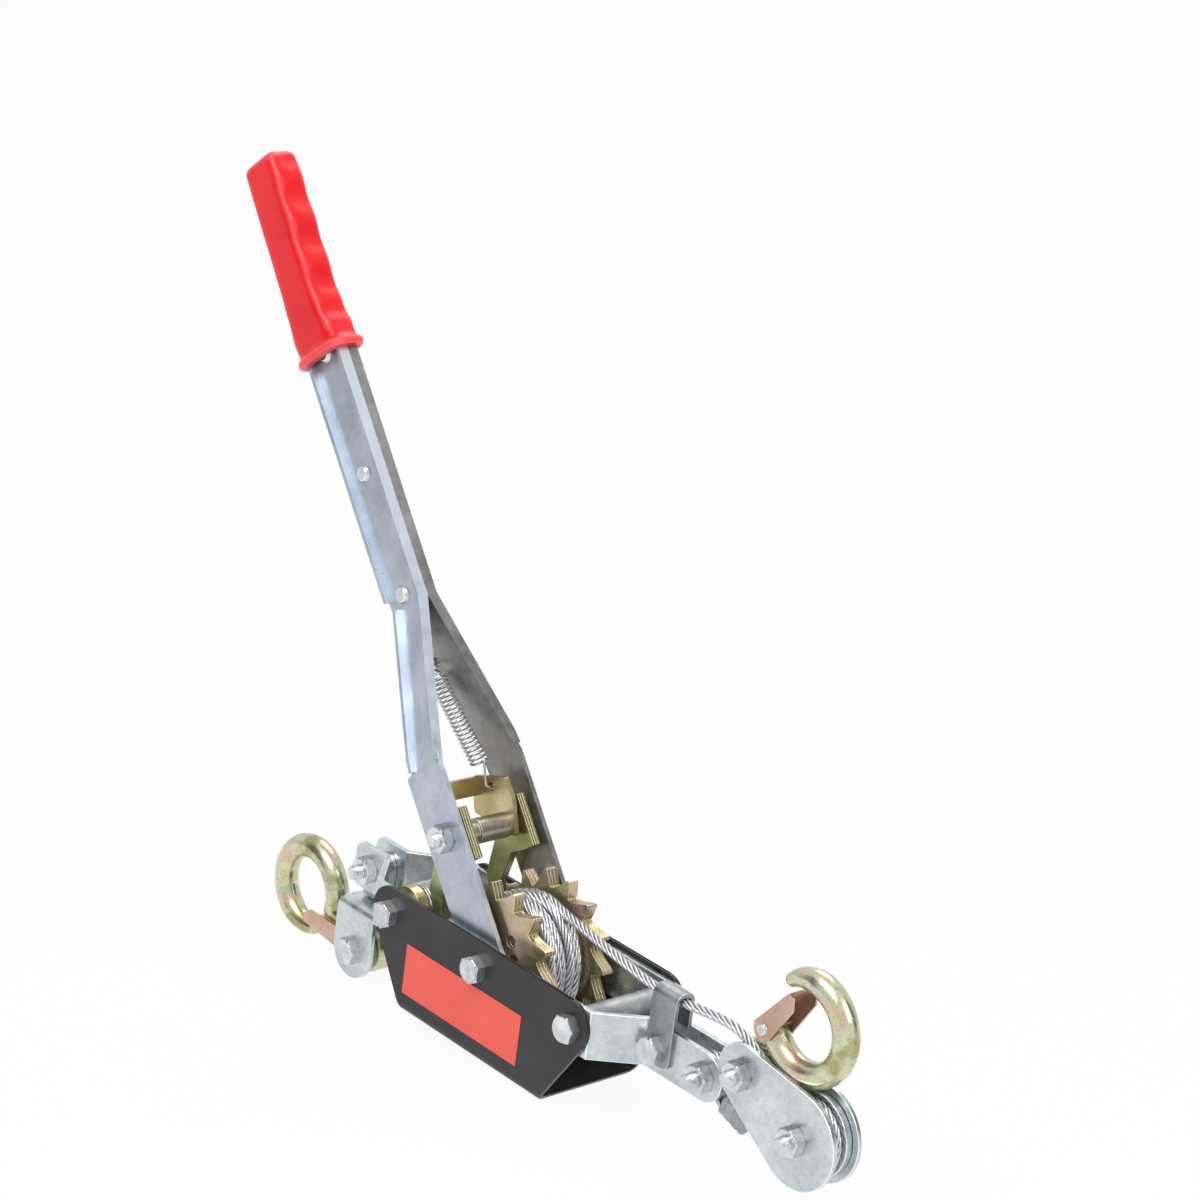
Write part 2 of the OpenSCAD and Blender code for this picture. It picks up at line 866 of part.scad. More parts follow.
module anchor_latch_pin() {
  in_place() color([0.75, 0.76, 0.78])
    at_eye(pin_at, anchor_dir)
      latch_pin(anchor_pin);
}

// ---- pulley block ----
module cheek_outline() {
  difference() {
    union() {
      translate(hook_at)
        circle(r = 15);
      translate(sheave_at)
        circle(r = 24);
      polygon(tangent_quad(hook_at, 15, sheave_at, 24));
    }
    translate(hook_at)
      circle(r = bolt_hole_r);
    translate(sheave_at)
      circle(r = bolt_hole_r);
  }
}

module block_cheek_front() {
  in_place() color([0.78, 0.80, 0.82])
    plate(-cheek_out_y, -cheek_in_y)
      cheek_outline();
}

module block_cheek_rear() {
  in_place() color([0.78, 0.80, 0.82])
    plate(cheek_in_y, cheek_out_y)
      cheek_outline();
}

module block_bolts() {
  in_place() color([0.75, 0.76, 0.78]) {
    bolt_far(hook_at[0], hook_at[1], cheek_out_y, stub_y, 0);
    bolt_far(sheave_at[0], sheave_at[1], cheek_out_y, stub_y, 0);
  }
}

module block_nuts() {
  in_place() color([0.75, 0.76, 0.78]) {
    nut(hook_at[0], hook_at[1], -cheek_out_y - nut_h, 5);
    nut(sheave_at[0], sheave_at[1], -cheek_out_y - nut_h, 18);
  }
}

module hook_spacer() {
  in_place() color([0.70, 0.71, 0.73])
    ring_y(hook_at[0], hook_at[1], 6.5, bolt_hole_r, -cheek_in_y, -1.6);
}

module sheave() {
  in_place() color([0.70, 0.72, 0.74])
    translate([sheave_at[0], 0, sheave_at[1]])
      rotate([90, 0, 0])
        rotate_extrude()
          difference() {
            translate([run_hole_r, -6.4])
              square([20.5 - run_hole_r, 12.8]);
            translate([pulley_path_r, 0])
              circle(r = cable_r + 0.4);
            translate([pulley_path_r, -cable_r - 0.4])
              square([10, 2 * cable_r + 0.8]);
          }
}

pulley_reach = 45.8;
pulley_dir = 50.8;
pulley_pin = [25.4, 10.4];
pulley_latch_tip = [51.5, 13.4];

module pulley_hook() {
  in_place() color([0.70, 0.62, 0.38])
    at_eye(hook_at, pulley_dir)
      difference() {
        union() {
          plate(-1.2, 6.4) {
            circle(r = 12);
            polygon([[4, -11.3], [21, -6.5], [27, 8], [14, 12], [0, 12]]);
          }
          hook_bar(pulley_reach, 164.2, 437.8, 6.5);
          hook_lug(pulley_pin, [24, 6]);
        }
        hook_holes(pulley_pin);
      }
}

module pulley_latch() {
  in_place() color([0.78, 0.52, 0.36])
    at_eye(hook_at, pulley_dir)
      latch(pulley_pin, pulley_latch_tip, 2.6);
}

module pulley_latch_pin() {
  in_place() color([0.75, 0.76, 0.78])
    at_eye(hook_at, pulley_dir)
      latch_pin(pulley_pin);
}

casing();
label_panel();
strap_front();
strap_rear();
frame_spacers();
frame_bolts();
frame_nuts();
axle_bolt();
axle_sleeve();
cable_guide();
guide_bolt();
guide_nut();
anchor_bolt();
anchor_nut();
thimble();
cable_loop();
ferrule();
cable_run();
drum_hub();
ratchet_front();
ratchet_rear();
cable_core();
cable_winding();
holding_pawl();
holding_pawl_spring();
handle_arm_front();
handle_arm_rear();
handle_rivets();
grip();
pawl_bolt();
pawl_nut();
pawl_tube();
drive_pawl_front();
drive_pawl_rear();
pawl_bracket();
pawl_spring();
link_bolt();
link_nut();
upper_yoke();
swivel_rivet();
lower_yoke();
hook_pin();
hook_pin_nut();
anchor_hook();
anchor_latch();
anchor_latch_pin();
block_cheek_front();
block_cheek_rear();
block_bolts();
block_nuts();
hook_spacer();
sheave();
pulley_hook();
pulley_latch();
pulley_latch_pin();
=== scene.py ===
"""Come along winch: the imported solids, dressed, with stranded cable, wound springs and forged hooks.

Lengths are in millimetres in the winch's own frame, which has its origin on the drum axle: X runs
towards the pulley hook, Y across to the far side and Z up. IN_FRAME turns them into the row frame's
metres. ON_HANDLE does so for the handle's frame: X across the handle and Z up along it.
"""

import json
import math

import bmesh
import bpy
from mathutils import Matrix, Vector


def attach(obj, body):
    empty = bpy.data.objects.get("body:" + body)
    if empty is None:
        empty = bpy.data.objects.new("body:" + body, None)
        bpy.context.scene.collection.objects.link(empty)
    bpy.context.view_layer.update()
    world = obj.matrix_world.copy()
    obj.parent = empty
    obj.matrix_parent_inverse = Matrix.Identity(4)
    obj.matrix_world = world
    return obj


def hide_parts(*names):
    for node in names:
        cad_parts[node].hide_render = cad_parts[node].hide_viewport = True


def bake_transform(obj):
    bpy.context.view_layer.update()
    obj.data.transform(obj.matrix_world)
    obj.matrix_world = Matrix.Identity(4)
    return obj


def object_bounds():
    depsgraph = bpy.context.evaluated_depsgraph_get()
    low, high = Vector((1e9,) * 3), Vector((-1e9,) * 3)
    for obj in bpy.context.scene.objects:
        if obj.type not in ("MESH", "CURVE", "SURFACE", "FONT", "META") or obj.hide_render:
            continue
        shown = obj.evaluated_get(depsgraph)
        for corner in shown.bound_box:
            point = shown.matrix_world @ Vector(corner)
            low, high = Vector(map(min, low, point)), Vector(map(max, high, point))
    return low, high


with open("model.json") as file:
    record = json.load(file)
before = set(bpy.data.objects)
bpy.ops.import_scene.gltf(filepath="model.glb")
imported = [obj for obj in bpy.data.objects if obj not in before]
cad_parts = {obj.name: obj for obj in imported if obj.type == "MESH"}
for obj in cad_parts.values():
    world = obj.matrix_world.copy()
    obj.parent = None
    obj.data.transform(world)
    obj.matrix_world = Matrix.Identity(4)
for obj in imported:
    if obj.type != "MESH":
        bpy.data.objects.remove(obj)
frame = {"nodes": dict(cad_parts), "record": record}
CAD_BOX = [list(corner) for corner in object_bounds()]
NODES = frame["nodes"]
RECORD = frame["record"]
JOINTS = {j["name"]: j for j in RECORD["behaviour"]["joints"]}

# ---- the winch's own frame ----
MM = 0.001
HANDLE_LEAN = math.radians(38.5)
UP = -Vector(RECORD["mounts"][0]["axis"])
ACROSS = Vector((0, 1, 0))
ALONG = ACROSS.cross(UP)
AXLE = Vector(JOINTS["drum_spin"]["pos_m"])
IN_FRAME = Matrix.Translation(AXLE) @ Matrix((ALONG, ACROSS, UP)).transposed().to_4x4() @ Matrix.Scale(MM, 4)
ON_HANDLE = IN_FRAME @ Matrix.Rotation(-HANDLE_LEAN, 4, "Y")


def at_eye(x, z, heading):
    """A hook's frame: its eye at (x, z), X towards its bowl."""
    return IN_FRAME @ Matrix.Translation((x, 0, z)) @ Matrix.Rotation(-math.radians(heading), 4, "Y")


# ---- camera, at the photograph's viewing angle ----
AZIMUTH, ELEVATION, ROLL = (math.radians(v) for v in (46.12, 18.9, 7.51))
DISTANCE, AIM_RIGHT, AIM_UP = 1607, 36.8, 176.1
LENS, SENSOR = 97.37, 36


def add_camera():
    right = Vector((math.cos(AZIMUTH), math.sin(AZIMUTH), 0))
    back = Vector((math.sin(AZIMUTH) * math.cos(ELEVATION), -math.cos(AZIMUTH) * math.cos(ELEVATION),
                   math.sin(ELEVATION)))
    up = back.cross(right)
    side = math.cos(ROLL) * right + math.sin(ROLL) * up
    top = math.cos(ROLL) * up - math.sin(ROLL) * right
    turn = Matrix((ALONG, ACROSS, UP)).transposed() @ Matrix((side, top, back)).transposed()
    data = bpy.data.cameras.new("camera")
    data.lens, data.sensor_width = LENS, SENSOR
    data.clip_start, data.clip_end = 0.05, 50
    camera = bpy.data.objects.new("camera", data)
    camera.matrix_world = (Matrix.Translation(IN_FRAME @ (side * AIM_RIGHT + top * AIM_UP + back * DISTANCE))
                           @ turn.to_4x4())
    bpy.context.collection.objects.link(camera)
    bpy.context.scene.camera = camera


add_camera()


# ---- materials ----
class Shader:
    """A node material on a Principled shader, with short calls for the nodes that the finishes share."""

    def __init__(self, name, **values):
        self.material = bpy.data.materials.new(name)
        self.material.use_nodes = True
        self.tree = self.material.node_tree
        self.bsdf = self.tree.nodes["Principled BSDF"]
        for key, value in values.items():
            self.bsdf.inputs[key.replace("_", " ")].default_value = value
        self.place = self.node("ShaderNodeTexCoord").outputs["Object"]

    def node(self, kind, **fields):
        made = self.tree.nodes.new(kind)
        for key, value in fields.items():
            setattr(made, key, value)
        return made

    def link(self, source, target):
        self.tree.links.new(source, target)

    def stretched(self, scale):
        mapping = self.node("ShaderNodeMapping")
        mapping.inputs["Scale"].default_value = scale
        self.link(self.place, mapping.inputs["Vector"])
        return mapping.outputs["Vector"]

    def noise(self, scale, detail=3, rough=0.55, place=None):
        made = self.node("ShaderNodeTexNoise")
        made.inputs["Scale"].default_value = scale
        made.inputs["Detail"].default_value = detail
        made.inputs["Roughness"].default_value = rough
        self.link(place or self.place, made.inputs["Vector"])
        return made.outputs["Fac"]

    def spangle(self, scale):
        made = self.node("ShaderNodeTexVoronoi")
        made.inputs["Scale"].default_value = scale
        self.link(self.place, made.inputs["Vector"])
        grey = self.node("ShaderNodeRGBToBW")
        self.link(made.outputs["Color"], grey.inputs[0])
        return grey.outputs[0]

    def ramp(self, value, stops):
        made = self.node("ShaderNodeValToRGB")
        parts = made.color_ramp.elements
        while len(parts) < len(stops):
            parts.new(0.5)
        for part, (where, colour) in zip(parts, stops):
            part.position = where
            part.color = (*colour, 1)
        self.link(value, made.inputs["Fac"])
        return made.outputs["Color"]

    def mix(self, fac, a, b, kind="MIX"):
        made = self.node("ShaderNodeMix", data_type="RGBA", blend_type=kind)
        for socket, value in zip([made.inputs[0], made.inputs[6], made.inputs[7]], [fac, a, b]):
            if isinstance(value, bpy.types.NodeSocket):
                self.link(value, socket)
            else:
                socket.default_value = (*value, 1) if isinstance(value, tuple) else value
        return made.outputs[2]

    def span(self, value, low, high, start=0.3, stop=0.7):
        made = self.node("ShaderNodeMapRange")
        for key, number in zip(("From Min", "From Max", "To Min", "To Max"), (start, stop, low, high)):
            made.inputs[key].default_value = number
        self.link(value, made.inputs["Value"])
        return made.outputs["Result"]

    def rims(self):
        """1 on the edges that dress() breaks, less on the lips' faces and 0 elsewhere. The plated and
        chromate finishes paint a highlight on it, and on the black paint it is also wear.
        """
        return self.node("ShaderNodeAttribute", attribute_name="rim").outputs["Fac"]

    def ridges(self, start, stop):
        """1 on the ridges of a densely meshed skin."""
        return self.span(self.node("ShaderNodeNewGeometry").outputs["Pointiness"], 0, 1, start, stop)

    def colour(self, source):
        self.link(source, self.bsdf.inputs["Base Color"])

    def roughness(self, source):
        self.link(source, self.bsdf.inputs["Roughness"])

    def bump(self, height, strength, distance=0.0002):
        made = self.node("ShaderNodeBump")
        made.inputs["Strength"].default_value = strength
        made.inputs["Distance"].default_value = distance
        self.link(height, made.inputs["Height"])
        self.link(made.outputs["Normal"], self.bsdf.inputs["Normal"])


def plated(name, dark, light, size=45, grain=900, rough=(0.28, 0.5), spangle=0.25, tint=None, metallic=0.85):
    """Plated steel: soft clouds, crystal spangle, fine grain and brighter edges, which are a painted
    highlight.
    """
    s = Shader(name, Metallic=metallic)
    cloud = s.noise(size, 5, 0.6)
    base = s.ramp(cloud, [(0.34, dark), (0.66, light)])
    if spangle:
        flakes = s.ramp(s.spangle(size * 9), [(0.2, dark), (0.8, light)])
        base = s.mix(spangle, base, flakes)
    # Given a tint, drifting patches of it are a painted glow: the orange reflection seen inside the copper
    # latch.
    if tint:
        orange_glow_patches = s.span(s.noise(size * 0.6, 2, 0.5, s.stretched((1, 1, 1.4))), 0, 0.6, 0.5, 0.72)
        base = s.mix(orange_glow_patches, base, tint)
    # Painted highlight: the broken edges are a lighter tint of the plate, and the lips' faces a little less
    # so.
    base = s.mix(s.rims(), base, tuple(min(1, c * 1.3 + 0.04) for c in light))
    s.colour(base)
    s.roughness(s.span(s.noise(size * 4, 4), rough[0], rough[1]))
    s.bump(s.noise(grain, 2), 0.12)
    return s.material


def chromated(name, stops, size=38, rough=(0.2, 0.38), grain=700, edge_highlight=(0.74, 0.66, 0.42), specks=0.35):
    """Yellow chromate plate: a drifting film of gold, green and pink over steel."""
    s = Shader(name, Metallic=0.85)
    film = s.ramp(s.noise(size, 3, 0.5), stops)
    speck = s.span(s.noise(size * 14, 3), 0, specks, 0.5, 0.75)
    film = s.mix(speck, film, (0.22, 0.17, 0.07))
    # Painted highlight: the broken edges take a paler gold.
    film = s.mix(s.rims(), film, edge_highlight)
    s.colour(film)
    s.roughness(s.span(s.noise(size * 3, 4), rough[0], rough[1]))
    s.bump(s.noise(grain, 3), 0.18)
    return s.material


def painted():
    s = Shader("black_paint", Metallic=0.0, Coat_Weight=0.1, Coat_Roughness=0.25, Specular_IOR_Level=0.3)
    base = s.ramp(s.noise(30, 4), [(0.35, (0.022, 0.021, 0.022)), (0.7, (0.036, 0.034, 0.036))])
    # The broken edges go grey in patches: partly wear of the paint, partly a painted highlight along the
    # edges.
    wear_and_edge_highlight = s.span(s.noise(260, 4), 0.1, 0.8, 0.42, 0.6)
    base = s.mix(s.mix(s.rims(), (0, 0, 0), wear_and_edge_highlight), base, (0.20, 0.20, 0.21))
    s.colour(base)
    s.roughness(s.span(s.noise(120, 3), 0.30, 0.42))
    s.bump(s.noise(1400, 2), 0.10, 0.0001)
    return s.material


def moulded():
    s = Shader("red_grip", Metallic=0.0, Coat_Weight=0.15, Coat_Roughness=0.2, Specular_IOR_Level=0.35)
    base = s.ramp(s.noise(26, 4), [(0.3, (0.72, 0.004, 0.008)), (0.72, (0.86, 0.008, 0.014))])
    # Painted highlight: the grip's ridges and finger-wave crests are a paler red.
    s.colour(s.mix(s.ridges(0.515, 0.56), base, (1.0, 0.10, 0.11)))
    s.roughness(s.span(s.noise(60, 4), 0.30, 0.42))
    s.bump(s.noise(500, 4), 0.08, 0.0002)
    return s.material


def film():
    s = Shader("red_label", Metallic=0.0, Coat_Weight=0.2, Coat_Roughness=0.3)
    s.colour(s.ramp(s.noise(40, 3), [(0.3, (0.86, 0.085, 0.055)), (0.7, (0.94, 0.115, 0.075))]))
    s.roughness(s.span(s.noise(150, 3), 0.38, 0.5))
    s.bump(s.noise(900, 2), 0.06, 0.0001)
    return s.material


def stranded():
    """Cable wire: the attribute crest is 1 on a strand's back and 0 in the groove between strands. The
    colour darkens towards the grooves, near black in them, as painted shade.
    """
    s = Shader("steel_cable", Metallic=0.9)
    crest = s.node("ShaderNodeAttribute", attribute_name="crest").outputs["Fac"]
    # Painted shade: near black in the grooves between the strands.
    base = s.ramp(crest, [(0.0, (0.03, 0.03, 0.035)), (0.45, (0.36, 0.37, 0.39)), (0.9, (0.80, 0.81, 0.83))])
    s.colour(s.mix(s.span(s.noise(400, 3), 0, 0.4), base, (0.42, 0.42, 0.44)))
    s.roughness(s.span(s.noise(700, 3), 0.26, 0.42))
    s.bump(s.noise(2600, 2), 0.15, 0.0001)
    return s.material


GALVANISED = plated("galvanised", (0.47, 0.52, 0.54), (0.72, 0.77, 0.79), rough=(0.20, 0.38), spangle=0.35)
# The handle's zinc twice: a lit copy for the near arm, and a darker copy with painted shade for the far arm.
HANDLE_ZINC_LIT = plated("handle_zinc_lit", (0.36, 0.41, 0.48), (0.58, 0.64, 0.71), 30, rough=(0.26, 0.42))
HANDLE_ZINC_SHADED = plated("handle_zinc_painted_shade", (0.22, 0.21, 0.20), (0.43, 0.42, 0.41), 30, rough=(0.3, 0.48))
BRIGHT_ZINC = plated("bright_zinc", (0.50, 0.52, 0.54), (0.84, 0.86, 0.88), 90, 1600, (0.12, 0.28), 0.2)
DULL_ZINC = plated("dull_zinc", (0.27, 0.28, 0.29), (0.50, 0.51, 0.52), 80, 900, (0.35, 0.55), 0.2)
GUIDE_ZINC = plated("guide_zinc", (0.20, 0.21, 0.21), (0.40, 0.42, 0.43), 50, 900, (0.28, 0.48))
SPRING_WIRE = plated("spring_wire", (0.42, 0.43, 0.45), (0.78, 0.79, 0.81), 120, 2000, (0.2, 0.35), 0.0)
GOLD = chromated("yellow_zinc", [(0.25, (0.34, 0.25, 0.10)), (0.45, (0.54, 0.44, 0.22)),
                                 (0.6, (0.62, 0.55, 0.34)), (0.78, (0.50, 0.50, 0.30))])
GEAR = chromated("gear_chromate", [(0.3, (0.34, 0.28, 0.13)), (0.46, (0.52, 0.44, 0.25)),
                                   (0.6, (0.66, 0.48, 0.38)), (0.75, (0.46, 0.45, 0.26))])
PAWL = chromated("pawl_chromate", [(0.3, (0.22, 0.22, 0.08)), (0.5, (0.38, 0.39, 0.16)),
                                   (0.64, (0.30, 0.42, 0.20)), (0.8, (0.54, 0.48, 0.25))])
HOOK = chromated("hook_chromate", [(0.36, (0.44, 0.41, 0.20)), (0.43, (0.62, 0.66, 0.45)),
                                   (0.49, (0.72, 0.69, 0.43)), (0.54, (0.54, 0.65, 0.48)),
                                   (0.59, (0.80, 0.54, 0.42)), (0.65, (0.66, 0.63, 0.36))],
                 46, (0.18, 0.34), specks=0.5)
# The copper latch's orange tint is a painted glow, the reflection seen inside it.
COPPER = plated("copper_latch", (0.50, 0.33, 0.25), (0.74, 0.53, 0.44), 60, 900, (0.24, 0.4), 0.15,
                tint=(0.56, 0.33, 0.12))
TUBE = plated("bush_steel", (0.28, 0.25, 0.20), (0.54, 0.51, 0.42), 70, 900, (0.25, 0.45), 0.1)
PAINT, LABEL, GRIP, CABLE = painted(), film(), moulded(), stranded()


# ---- making pieces ----
def make(name, verts, faces, body, material, stands_for=(), place=IN_FRAME, sharp=50, crest=None):
    """A piece from points and faces, riding on a body and standing for CAD nodes."""
    mesh = bpy.data.meshes.new(name)
    mesh.from_pydata([place @ Vector(v) for v in verts], [], faces)
    bm = bmesh.new()
    bm.from_mesh(mesh)
    bmesh.ops.recalc_face_normals(bm, faces=bm.faces)
    bm.to_mesh(mesh)
    bm.free()
    if crest:
        mesh.attributes.new("crest", "FLOAT", "POINT").data.foreach_set("value", crest)
    return finish_piece(name, mesh, body, material, stands_for, sharp)


def finish_piece(name, mesh, body, material, stands_for, sharp=50):
    mesh.shade_smooth()
    mesh.set_sharp_from_angle(angle=math.radians(sharp))
    mesh.materials.clear()
    mesh.materials.append(material)
    obj = bpy.data.objects.new(name, mesh)
    bpy.context.collection.objects.link(obj)
    if body:
        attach(obj, body)
    if stands_for:
        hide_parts(*stands_for)
    return obj


BODY_OF = {n: b for b, names in RECORD["behaviour"]["bodies"].items() for n in names}


def dress(node, material, bevel=0.3, lips=None):
    """The node's own solid with its edges broken, as a pressed or turned part has them.

    Faces that look along lips are marked for a painted highlight, a little less than the broken edges."""
    bm = bmesh.new()
    bm.from_mesh(NODES[node].data)
    bm.transform(NODES[node].matrix_world)
    bmesh.ops.remove_doubles(bm, verts=bm.verts, dist=2e-6)
    bmesh.ops.dissolve_limit(bm, angle_limit=math.radians(0.4), verts=bm.verts, edges=bm.edges)
    corners = [e for e in bm.edges if e.is_manifold and e.calc_face_angle(0) > math.radians(32)]
    rim = bm.faces.layers.float.new("rim")
    bm.normal_update()
    for face in bm.faces:
        # Painted highlight mask: faces along lips get 0.75.
        face[rim] = 0.75 if lips and abs(face.normal.dot(lips)) > 0.8 else 0.0
    broken = bmesh.ops.bevel(bm, geom=corners, offset=bevel * MM, segments=2, profile=0.6, affect="EDGES",
                             clamp_overlap=True, material=-1)
    for face in broken["faces"]:
        face[rim] = 1.0
    mesh = bpy.data.meshes.new(node + "_dressed")
    bm.to_mesh(mesh)
    bm.free()
    obj = finish_piece(node + "_dressed", mesh, BODY_OF[node], material, [node])
    weighted = obj.modifiers.new("flat faces", "WEIGHTED_NORMAL")
    weighted.keep_sharp = True
    return obj


# ---- sweeping along a path ----
def curve_through(points, step):
    """Points about step apart on a Catmull-Rom curve through the given ones."""
    ps = [Vector(p) for p in points]
    ps = [ps[0] * 2 - ps[1], *ps, ps[-1] * 2 - ps[-2]]
    out = []
    for a, b, c, d in zip(ps, ps[1:], ps[2:], ps[3:]):
        count = max(1, round((c - b).length / step))
        for i in range(count):
            t = i / count
            out.append(0.5 * ((2 * b) + (c - a) * t + (2 * a - 5 * b + 4 * c - d) * t * t
                              + (3 * b - a - 3 * c + d) * t ** 3))
    return [*out, ps[-2]]


def carried_frames(path, first=(0, 1, 0)):
    """(point, two side vectors) along the path, with no twist of their own."""
    side = Vector(first)
    for i, p in enumerate(path):
        along = (path[min(i + 1, len(path) - 1)] - path[max(i - 1, 0)]).normalized()
        side = (side - side.dot(along) * along).normalized()
        yield p, side, along.cross(side)


def tube_faces(rings, sides, closed=False, offset=0):
    faces = []
    for i in range(rings - 1):
        for k in range(sides):
            a, b = offset + i * sides + k, offset + i * sides + (k + 1) % sides
            faces.append((a, b, b + sides, a + sides))
    if not closed:
        faces.append(tuple(range(offset + sides - 1, offset - 1, -1)))
        faces.append(tuple(range(offset + (rings - 1) * sides, offset + rings * sides)))
    return faces


def sweep(path, section, first=(0, 1, 0), offset=0):
    """section(i, share) gives the ring's points as (side, up) pairs."""
    verts, sides = [], 0
    for i, (p, u, v) in enumerate(carried_frames(path, first)):
        ring = section(i, i / (len(path) - 1))
        sides = len(ring)
        verts += [p + a * u + b * v for a, b in ring]
    return verts, tube_faces(len(path), sides, offset=offset)


def circle(r, sides):
    turns = [2 * math.pi * k / sides for k in range(sides)]
    return [(r * math.cos(a), r * math.sin(a)) for a in turns]


# ---- cable: six strands laid round a seventh ----
CABLE_R, STRANDS, LAY, CABLE_STEP = 2.4, 6, 26, 1.1
STRAND_SHARE = [-28, -20, -10, 0, 10, 20]


def strand_ring(radius, turn):
    """The outline of six strands, turned, and how far each point lies towards a strand's back."""
    ring, crest = [], []
    reach, strand = radius * 2 / 3, radius / 3
    for k in range(STRANDS):
        for deg in STRAND_SHARE:
            a = math.radians(deg)
            r = reach * math.cos(a) + math.sqrt(max(0, strand ** 2 - (reach * math.sin(a)) ** 2))
            where = turn + a + 2 * math.pi * k / STRANDS
            ring.append((r * math.cos(where), r * math.sin(where)))
            crest.append((r - radius * 0.62) / (radius * 0.38))
    return ring, crest


def cable(paths, radius=CABLE_R, step=CABLE_STEP, lay=LAY):
    """(points, faces, crest) of cables along the paths."""
    verts, faces, crest = [], [], []
    for path in paths:
        line = curve_through(path, step)
        shades = []

        def section(i, share):
            ring, shade = strand_ring(radius, 2 * math.pi * i * step / lay)
            shades.extend(shade)
            return ring

        more, around = sweep(line, section, offset=len(verts))
        verts += more
        faces += around
        crest += shades
    return verts, faces, crest


SHEAVE = (201, -2)
PULLEY_PATH_R = 17
RUN_OUT = [(-8, 8.3, 29.4), (0, 8, 30.5), (8, 7.4, 30.2), (14, 6.7, 29.6), (20, 5.8, 29), (33, 3.6, 28.9),
           (45, 1.6, 28.6), (60, -0.6, 28.1), (75, -2.3, 27.3), (91, -3.5, 26.7), (101, -4, 26.7),
           (110.5, -4, 27.1), (122, -4, 28), (132, -4, 29.2), (142, -4, 30.1), (149, -4.1, 30.3),
           (156, -4.1, 29), (163, -4.1, 26),
           (172, -4.1, 22), (178.5, -3.7, 19.2), (184.5, -1.7, 17.3), (189, -0.2, 16.2), (195, 0, 15.2)]
RUN_OVER = [(SHEAVE[0] + PULLEY_PATH_R * math.cos(math.radians(a)), 0,
             SHEAVE[1] + PULLEY_PATH_R * math.sin(math.radians(a))) for a in range(80, -101, -15)]
RUN_BACK = [(187, 0, -18.4), (176, 0, -17.2), (168, 0, -15.9), (163.4, 0, -14.6)]
ANCHOR_X, LOOP_R = 138, 8.6
LOOP = ([(147.6, 0, -7.4), (147.3, 0, -4)]
        + [(ANCHOR_X + LOOP_R * math.cos(math.radians(a)), 0, LOOP_R * math.sin(math.radians(a)))
           for a in range(0, 271, 15)] + [(141.6, 0, -10.4), (146.1, 0, -13)])


def add_cable():
    route = RUN_OUT + RUN_OVER + RUN_BACK
    verts, faces, crest = cable([route])
    run = make("cable_run_strands", verts, faces, "frame", CABLE, ["cable_run"],
               sharp=80, crest=crest)
    verts, faces, crest = cable([LOOP])
    make("cable_loop_strands", verts, faces, "frame", CABLE, ["cable_loop"],
         sharp=80, crest=crest)


def add_winding():
    """Two full layers, and over them loose turns that cross at odd slopes."""
    layers = []
    for radius, low, high, turns, phase in ((25.6, -11.6, 11.6, 5, 40), (29.6, -10.8, 10.2, 4, 170)):
        line = []
        for i in range(18 * turns + 1):
            a = math.radians(phase + 20 * i)
            y = low + (high - low) * i / (18 * turns) + 0.5 * math.sin(a * 1.7)
            line.append((radius * math.cos(a), y, radius * math.sin(a)))
        layers.append(line)
    for start, phase, slope in ((-9.5, 10, 15), (3, 100, -11), (-4, 200, 12), (8, 320, -15)):
        line = []
        for i in range(20):
            a = math.radians(phase + 18 * i)
            lift = 30.2 + 0.9 * math.sin(math.pi * i / 19)
            line.append((lift * math.cos(a), start + slope * i / 19, lift * math.sin(a)))
        layers.append(line)
    verts, faces, crest = cable(layers, step=1.6)
    make("cable_winding_strands", verts, faces, "drum", CABLE, ["cable_winding"],
         sharp=80, crest=crest)


# ---- springs ----
def coil(name, points, wire, body, nodes, place=IN_FRAME, step=1.1):
    verts, faces = sweep(curve_through(points, step), lambda i, share: circle(wire, 8), (0.3, 0.9, 0.1))
    return make(name, verts, faces, body, SPRING_WIRE, nodes, place, 80)


PAWL_SPRING_R, PAWL_SPRING_TURNS = 4.2, 21
SPRING_FROM, SPRING_TO = Vector((-5, 4.2, 148.5)), Vector((2, 8.2, 99))


def add_springs():
    axis = (SPRING_TO - SPRING_FROM).normalized()
    side = (Vector((1, 0, 0)) - axis.x * axis).normalized()
    other = axis.cross(side)
    turns = []
    for i in range(14 * PAWL_SPRING_TURNS + 1):
        a = 2 * math.pi * i / 14
        turns.append(SPRING_FROM.lerp(SPRING_TO, i / (14 * PAWL_SPRING_TURNS))
                     + PAWL_SPRING_R * (math.cos(a) * side + math.sin(a) * other))
    points = ([(-6.4, 15, 155.8), (-6.6, 9, 156.6), (-6.2, 5.5, 155), (-4, 3.4, 152)] + turns
              + [(5, 8.2, 96.4), (2.4, 8.4, 91), (0.95, 8.8, 87.2), (0.85, 11, 86.2), (0.85, 16.5, 86.2)])
    spring = coil("pawl_spring_coil", points, 0.65, None, ["pawl_spring"], ON_HANDLE)
    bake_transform(spring)
    reach, y0 = 11.2, 9.9
    points = [(-70 - reach, y0, 9), (-70 - reach, y0, 6)]
    for i in range(217):
        a = math.radians(180 - 22.5 * i)
        points.append((-70 + reach * math.cos(a), y0 - 1.7 * i / 16, reach * math.sin(a)))
    points += [(-70 + reach, -13.05, -4), (-56.5, -13.05, -9), (-50, -13.05, -14.5)]
    coil("holding_pawl_spring_coil", points, 0.6, "frame", ["holding_pawl_spring"])


# ---- hexagon heads, nuts and threads ----
FLATS, NUT_H, HEAD_H, BOLT_R, THREAD_PITCH = 13, 6.5, 5.3, 3.95, 1.25
AROUND = 48


